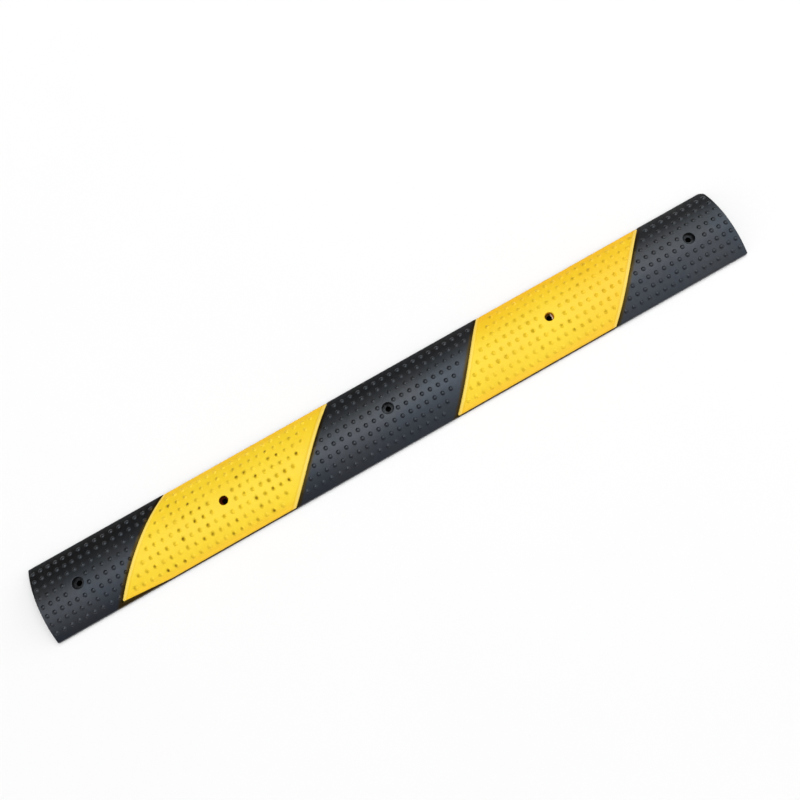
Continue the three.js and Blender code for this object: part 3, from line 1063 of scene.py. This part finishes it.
def black_rubber():
    mat = Nodes("black_rubber")
    x, arc, inside = mat.developed()
    cloud = mat.noise(scale=9, detail=4, roughness=0.55)
    fine = mat.noise(scale=160, detail=5, roughness=0.6)
    speck = mat.noise(scale=900, detail=2)
    wear, foot_shade_and_grime, shade = [mat.attribute(name) for name in ("wear", "foot_shade_and_grime", "shade")]

    dust = mat.ease(mat.average(cloud, fine, share=0.65), span=(0.4, 0.68))
    colour = mat.mix(dust, (0.0064, 0.0060, 0.0059), (0.0102, 0.0098, 0.0097))
    worn = mat.times(wear, mat.remap(fine, span=(0.35, 0.65), to=(0.0, 0.4)))
    colour = mat.mix(worn, colour, (0.016, 0.016, 0.016))
    # painted bluish sheen, bluer towards the near edge
    painted_blue_sheen = mat.ease(arc, span=(12.0, -16.0), to=(0, 0.8))
    colour = mat.mix(painted_blue_sheen, colour, (0.0070, 0.0082, 0.0132))
    # darker round the studs: grime and painted shade at their feet, and painted shade on their near
    # left sides
    colour = mat.mix(mat.times(foot_shade_and_grime, by=0.5), colour, (0.003, 0.003, 0.003))
    colour = mat.mix(mat.times(shade, by=0.5), colour, (0.003, 0.0034, 0.005))
    # painted sheen: paler and patchy along the far edge, more so to the right
    far = mat.times(mat.ease(arc, span=(34.0, 50.0)), mat.ease(x, span=(-60.0, 300.0)))
    far = mat.times(far, mat.remap(cloud, span=(0.3, 0.6), to=(0.5, 1.0)))
    colour = mat.mix(far, colour, (0.0185, 0.0180, 0.0185))
    # painted brownish shade along the joints with the yellow panels
    ragged = mat.plus(inside, mat.times_plus(fine, factor=2.4, offset=-1.2))
    joint_shade = mat.ease(ragged, span=(-6.0, -1.6))
    colour = mat.mix(mat.times(joint_shade, by=0.9), colour, (0.0085, 0.0038, 0.0003))
    mat.put("Base Color", colour)

    rough = mat.remap(mat.average(fine, cloud, share=0.6), span=(0.3, 0.7), to=(0.27, 0.35))
    mat.put("Roughness", mat.times_plus(foot_shade_and_grime, factor=0.12, offset=rough, clamp=True))
    gloss = mat.average(cloud, fine, share=0.5)
    gloss = mat.remap(gloss, span=(0.35, 0.65), to=(0.65, 0.55))
    gloss = mat.times(gloss, mat.times_plus(shade, factor=-0.6, offset=1.0))
    gloss = mat.times(gloss, mat.times_plus(joint_shade, factor=-0.12, offset=1.0))
    mat.put("Specular IOR Level", gloss)
    # bluish highlights, with a painted orange reflection of the yellow panels at the joints
    hue = mat.ease(mat.noise(scale=17, detail=3), span=(0.38, 0.62))
    tint = mat.mix(hue, (0.80, 0.87, 0.97), (0.71, 0.84, 1.0))
    mat.put("Specular Tint", mat.mix(mat.times(joint_shade, by=0.95), tint, (1.0, 0.68, 0.11)))
    rubber_relief(
        mat, speck, lump_scale=260, lump_strength=0.35, grain_scale=1400, grain_strength=0.22
    )
    return mat.material


def yellow_rubber():
    mat = Nodes("yellow_rubber")
    x, arc, inside = mat.developed()
    cloud = mat.noise(scale=14, detail=4, roughness=0.55)
    fine = mat.noise(scale=190, detail=5, roughness=0.6)
    speck = mat.noise(scale=900, detail=2)
    dirt, foot_shade_and_grime = mat.attribute("dirt"), mat.attribute("foot_shade_and_grime")

    mottle = mat.ease(mat.average(cloud, fine, share=0.6), span=(0.38, 0.66))
    colour = mat.mix(mottle, (0.950, 0.618, 0.0110), (0.970, 0.668, 0.017))
    # painted shade: deeper orange towards the long edges, where the arch turns away from the light
    edge_shade_span = (ARC_EDGE - 16, ARC_EDGE - 1)
    edge = mat.ease(mat.math("ABSOLUTE", arc), span=edge_shade_span, to=(0, 0.55))
    colour = mat.mix(edge, colour, (0.99, 0.48, 0.012))
    # warmer towards the far edge and right end of the right panel
    warm = mat.math("MAXIMUM", mat.ease(arc, span=(12, 46)), mat.ease(x, span=(240, 330)))
    warm = mat.times(warm, mat.ease(x, span=(60, 180), to=(0, 0.26)))
    colour = mat.mix(warm, colour, (1.0, 0.50, 0.012))
    # paler to the left, and on the near part of the right panel
    colour = mat.mix(mat.ease(x, span=(0, -200), to=(0, 0.11)), colour, (0.97, 0.78, 0.095))
    near = mat.ease(arc, span=(14, -30), to=(0, 0.10))
    near = mat.times(mat.remap(x, span=(0, 120)), near)
    colour = mat.mix(near, colour, (0.98, 0.67, 0.075))
    # paler along the slanted sides: a painted highlight on the raised border, with a thin darker
    # line of painted shadow where it ends
    along = mat.plus(inside, mat.times_plus(fine, factor=1.6, offset=-0.8))
    line = mat.times(mat.ease(along, span=(3.9, 4.9)), mat.ease(along, span=(5.0, 6.6), to=(1, 0)))
    colour = mat.mix(mat.times(line, by=0.35), colour, (0.80, 0.42, 0.008))
    colour = mat.mix(mat.ease(along, span=(2.7, 4.7), to=(0.60, 0)), colour, (0.93, 0.68, 0.17))
    # darker orange at the studs' feet: grime and painted shade
    colour = mat.mix(mat.times(foot_shade_and_grime, by=0.22), colour, (0.60, 0.36, 0.008))
    # blotchy dirt on the studs
    blot = mat.times_plus(mat.noise(scale=420, detail=4, roughness=0.6), factor=1.3, offset=-0.65)
    patchy = mat.remap(fine, span=(0.3, 0.6), to=(0.7, 1.1))
    dirty = mat.times_plus(dirt, patchy, mat.times(blot, dirt))
    dirty = mat.remap(dirty, span=(0.0, 1.0))
    colour = mat.mix(dirty, colour, (0.130, 0.063, 0.0018))
    # darker down the bolt hole: painted shade, with grime making the left panel's hole darker still
    bore_shade_and_grime = mat.ease(mat.height(), span=(0.55, -0.6))
    bore_shade_and_grime = mat.times(bore_shade_and_grime, mat.remap(inside, span=(3.0, 5.0)))
    shade_and_grime_colour = mat.mix(mat.remap(x, span=(-50, 50)), (0.130, 0.024, 0.004), (0.72, 0.30, 0.012))
    colour = mat.mix(bore_shade_and_grime, colour, shade_and_grime_colour)
    stain = mat.noise(scale=42, detail=5, roughness=0.65)
    stain = mat.ease(stain, span=(0.64, 0.78), to=(0, 0.22))
    mat.put("Base Color", mat.mix(stain, colour, (0.70, 0.42, 0.015)))

    rough = mat.remap(mat.average(fine, cloud, share=0.6), span=(0.3, 0.7), to=(0.36, 0.48))
    mat.put("Roughness", rough)
    mat.put("Specular IOR Level", mat.remap(dirty, span=(0.0, 0.6), to=(0.56, 0.22)))
    tint = mat.mix(mat.remap(dirty, span=(0.0, 0.4)), (0.35, 1.0, 0.62), (0.95, 0.85, 0.25))
    mat.put("Specular Tint", tint)
    rubber_relief(
        mat, speck, lump_scale=240, lump_strength=0.3, grain_scale=1300, grain_strength=0.2
    )
    return mat.material


def washer_steel():
    mat = Nodes("washer_steel")
    cloud = mat.noise(scale=120, detail=4, roughness=0.6)
    fine = mat.noise(scale=900, detail=3, roughness=0.6)
    x = mat.times(mat.axes()[0], by=1000.0)
    # the second washer is rusted; the fourth is dark brown, then a painted glint, then a painted
    # orange reflection of the yellow hole wall, from left to right
    rusted_x, glint_x = HOLES[1], HOLES[3]
    at_hole = lambda hole_x: mat.within(mat.math("SUBTRACT", x, hole_x), limit=20.0)
    # near-black: blackened steel with painted shade of the deep bolt holes
    colour = mat.remap(cloud, span=(0.35, 0.65))
    colour = mat.mix(colour, (0.014, 0.0155, 0.017), (0.055, 0.060, 0.064))
    colour = mat.mix(at_hole(rusted_x), colour, (0.068, 0.009, 0.003))
    ragged = mat.times_plus(cloud, factor=1.6, offset=-0.8)
    side = mat.plus(mat.math("SUBTRACT", x, glint_x), ragged)
    painted_glint = mat.ease(side, span=(2.9, 3.9))
    painted_glint = mat.mix(painted_glint, (0.075, 0.042, 0.006), (0.72, 0.62, 0.50))
    painted_glint = mat.mix(mat.ease(side, span=(4.2, 5.2)), painted_glint, (0.55, 0.20, 0.012))
    mat.put("Base Color", mat.mix(at_hole(glint_x), colour, painted_glint))
    mat.put("Metallic", 1.0)
    mat.put("Roughness", mat.remap(fine, span=(0.3, 0.7), to=(0.42, 0.62)))
    mat.put("Normal", mat.bump(fine, strength=0.2, distance=0.00006))
    return mat.material


def floor_material():
    mat = Nodes("floor_pale")
    colour = mat.mix(mat.noise(scale=3, detail=3), (0.93, 0.93, 0.93), (0.95, 0.95, 0.95))
    # painted shadow under the bump, so that the bolt holes have no bright bottom
    axes = mat.axes()
    under = mat.times(mat.within(axes[0], limit=0.47), mat.within(axes[1], limit=0.02))
    mat.put("Base Color", mat.mix(under, colour, (0.012, 0.012, 0.012)))
    mat.put("Roughness", 0.9)
    mat.put("Specular IOR Level", 0.1)
    mat.put("Normal", mat.bump(mat.noise(scale=400, detail=2), strength=0.05, distance=0.0002))
    return mat.material


# ---- Painted attributes ----
# Strength of the black studs' shaded side against arc and against x
SHADE_BY_ARC = (-42.5, -30.4, -18.2, -6.1), (0.65, 0.85, 0.5, 0.0)
SHADE_BY_X = (-420, -150, -110, 110, 150, 420), (0.35, 0.35, 1.0, 1.0, 0.4, 0.4)
# How dirty a stud may be, and how often
DIRT_LEVELS = [0.15, 0.3, 0.42, 0.6, 0.9]
DIRT_CHANCES = [0.15, 0.3, 0.3, 0.17, 0.08]
# Each panel's seed, dirtiness, and the share of that in some rows (3 is the far row, -4 the near)
PANEL_DIRT = {
    "left": (21, 1.45, {3: 0.12, 2: 0.85, 0: 0.9, -1: 1.08, -2: 1.1, -3: 1.0, -4: 0.82}),
    "right": (22, 0.66, {3: 0.75, 2: 1.15, -4: 0.5}),
}


def paint(obj, studs, seed, dirtiness=0.0, row_shares=None):
    """Per-vertex wear on stud tops and grime with painted shade at their feet, with dirt on the
    studs of a dirty piece and painted shade on the near left side of the others."""
    mesh = obj.data
    count = len(mesh.vertices)
    points = np.zeros(count * 3, np.float32)
    mesh.vertices.foreach_get("co", points)
    x, y, z = points.reshape(-1, 3).T.astype(float) * 1000
    arc = np.arctan2(y, z - ARCH_Z) * ARCH_R
    top = np.hypot(y, z - ARCH_Z) - ARCH_R > -0.05
    wear, foot_shade_and_grime, dirt, shade = [np.zeros(count) for _ in range(4)]
    draw = np.random.default_rng(seed)
    for stud_x, stud_arc in studs:
        near = top & (np.abs(x - stud_x) < 4.5) & (np.abs(arc - stud_arc) < 4.5)
        dx, da = x[near] - stud_x, arc[near] - stud_arc
        away = np.hypot(dx, da)

        def raise_to(values, amount):
            values[near] = np.maximum(values[near], amount)

        raise_to(wear, np.clip(1 - away / 2.2, 0, 1) * draw.uniform(0.3, 1.0))
        foot = np.clip(1 - np.abs(away - 2.9) / 0.33, 0, 1)
        raise_to(foot_shade_and_grime, foot * draw.uniform(0.5, 1.0))
        if dirtiness:
            # an off-centre blot
            blot_x, blot_arc = draw.normal(-0.42, 0.3), draw.normal(0.45, 0.3)
            size = draw.uniform(1.85, 2.7)
            share = row_shares.get(int(math.floor(stud_arc / ROW_PITCH)), 1.0)
            level = float(draw.choice(DIRT_LEVELS, p=DIRT_CHANCES))
            amount = min(1.0, share * dirtiness * level)
            away = np.hypot(dx - blot_x, (da - blot_arc) * 0.9)
            raise_to(dirt, amount * np.clip(1.25 - away / size, 0, 1))
        else:
            side = (dx + da) / np.maximum(away, 0.3) / math.sqrt(2)
            amount = np.interp(stud_arc, *SHADE_BY_ARC) * np.interp(stud_x, *SHADE_BY_X)
            band = np.clip(1 - np.abs(away - 2.4) / 1.3, 0, 1)
            raise_to(shade, amount * np.clip(-side, 0, 1) * band)
    named = {"wear": wear, "foot_shade_and_grime": foot_shade_and_grime, "dirt": dirt, "shade": shade}
    for name, values in named.items():
        attribute = mesh.attributes.new(name, "FLOAT", "POINT")
        attribute.data.foreach_set("value", values.astype(np.float32))


# ---- The pieces ----
BLACK, YELLOW, STEEL = black_rubber(), yellow_rubber(), washer_steel()

body = build_base(BLACK)
paint(body, stud_list(), seed=11)
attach(body, "root")
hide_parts("rubber_base")

for key, (seed, dirtiness, row_shares) in PANEL_DIRT.items():
    piece = build_panel(key, YELLOW)
    paint(piece, stud_list(PANELS[key]["run"]), seed, dirtiness, row_shares)
    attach(piece, "root")
    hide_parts("yellow_panel_%s" % key)

for n, hole_x in enumerate(HOLES, 1):
    piece = build_washer(n, hole_x, STEEL)
    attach(piece, "root")
    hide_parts("bolt_washer_%d" % n)


# ---- Floor, light and camera, in metres ----
def add_floor(half=12, drop=0.0004):
    mesh = bpy.data.meshes.new("floor")
    corners = [(-half, -half, 0), (half, -half, 0), (half, half, 0), (-half, half, 0)]
    mesh.from_pydata(corners, [], [(0, 1, 2, 3)])
    mesh.materials.append(floor_material())
    floor = bpy.data.objects.new("floor", mesh)
    floor.location.z = -drop
    bpy.context.scene.collection.objects.link(floor)


# The room's soft white light, as smooth lobes: zenith angle and azimuth in degrees, tightness,
# brightness
LOBES = [
    (0, 0, 34, 0.676), (16, 0, 34, 0.895), (16, 60, 34, 1.512), (16, 120, 34, 1.546),
    (16, 180, 34, 1.591), (16, 240, 34, 0.37), (16, 300, 34, 0.368), (31, 0, 30, 0.535),
    (31, 90, 30, 0.589), (31, 180, 30, 0.599), (31, 225, 30, 0.983), (31, 315, 30, 1.757),
    (49, 22.5, 22, 0.175), (49, 67.5, 22, 0.535), (49, 292.5, 22, 1.119), (68, 0, 16, 0.674),
    (68, 205.7, 16, 0.321), (68, 308.6, 16, 0.213), (85, 0, 8, 1.394), (85, 180, 8, 0.929),
    (85, 240, 8, 0.373), (85, 300, 8, 0.138),
]
# The softbox stands in for one more lobe of the same kind
SOFTBOX_LOBE = (31, 45, 30, 2.662)
SOFTBOX_AWAY, SOFTBOX_R = 8.0, 3.0

LENS, SENSOR_WIDTH = 42.399037059, 36  # millimetres
CAMERA_AT = Vector((-0.028976463515, -0.351026300300, 1.155752528187))
# World to camera: the rotation axis, as long as the angle in radians
CAMERA_TURN = Vector((-0.304102511406, -0.03849622473, 0.515499785725))


def toward(zenith, azimuth):
    zenith, azimuth = math.radians(zenith), math.radians(azimuth)
    across = math.sin(zenith)
    return Vector((across * math.cos(azimuth), across * math.sin(azimuth), math.cos(zenith)))


def add_world():
    """White light whose strength is the sum of brightness * exp(tightness * (cosine - 1))."""
    world = bpy.data.worlds.new("studio")
    world.use_nodes = True
    tree = world.node_tree
    tree.nodes.clear()
    output = tree.nodes.new("ShaderNodeOutputWorld")
    background = tree.nodes.new("ShaderNodeBackground")
    direction = tree.nodes.new("ShaderNodeTexCoord").outputs["Generated"]
    tree.links.new(background.outputs[0], output.inputs[0])
    background.inputs["Color"].default_value = (1, 1, 1, 1)

    def calculate(operation, first, second=0.0):
        node = tree.nodes.new("ShaderNodeMath")
        node.operation = operation
        for i, value in enumerate((first, second)):
            if isinstance(value, bpy.types.NodeSocket):
                tree.links.new(value, node.inputs[i])
            else:
                node.inputs[i].default_value = value
        return node.outputs[0]

    total = None
    for zenith, azimuth, tightness, brightness in LOBES:
        dot = tree.nodes.new("ShaderNodeVectorMath")
        dot.operation = "DOT_PRODUCT"
        tree.links.new(direction, dot.inputs[0])
        dot.inputs[1].default_value = toward(zenith, azimuth)
        power = calculate("SUBTRACT", dot.outputs["Value"], 1.0)
        power = calculate("MULTIPLY", power, tightness)
        lobe = calculate("MULTIPLY", calculate("EXPONENT", power), brightness)
        total = lobe if total is None else calculate("ADD", total, lobe)
    tree.links.new(total, background.inputs["Strength"])
    bpy.context.scene.world = world


def add_softbox():
    zenith, azimuth, tightness, brightness = SOFTBOX_LOBE
    direction = toward(zenith, azimuth)
    # the lobe's whole light, spread over the disk as seen from the origin
    solid_angle = math.pi * math.atan(SOFTBOX_R / SOFTBOX_AWAY) ** 2
    radiance = brightness * 2 * math.pi / tightness / solid_angle
    light = bpy.data.lights.new("softbox", "AREA")
    light.shape = "DISK"
    light.size = 2 * SOFTBOX_R
    light.energy = radiance * math.pi * math.pi * SOFTBOX_R**2
    softbox = bpy.data.objects.new("softbox", light)
    softbox.location = direction * SOFTBOX_AWAY
    softbox.rotation_euler = direction.to_track_quat("Z", "Y").to_euler()
    bpy.context.scene.collection.objects.link(softbox)


def add_camera():
    scene = bpy.context.scene
    camera = bpy.data.cameras.new("camera")
    camera.sensor_width = SENSOR_WIDTH
    camera.lens = LENS
    camera.clip_start, camera.clip_end = 0.01, 20
    obj = bpy.data.objects.new("camera", camera)
    turn = Matrix.Rotation(CAMERA_TURN.length, 3, CAMERA_TURN.normalized())
    obj.matrix_world = Matrix.Translation(CAMERA_AT) @ turn.transposed().to_4x4()
    scene.collection.objects.link(obj)
    scene.camera = obj
    scene.view_settings.view_transform = "Standard"
    scene.view_settings.look = "None"


add_floor()
add_world()
add_softbox()
add_camera()
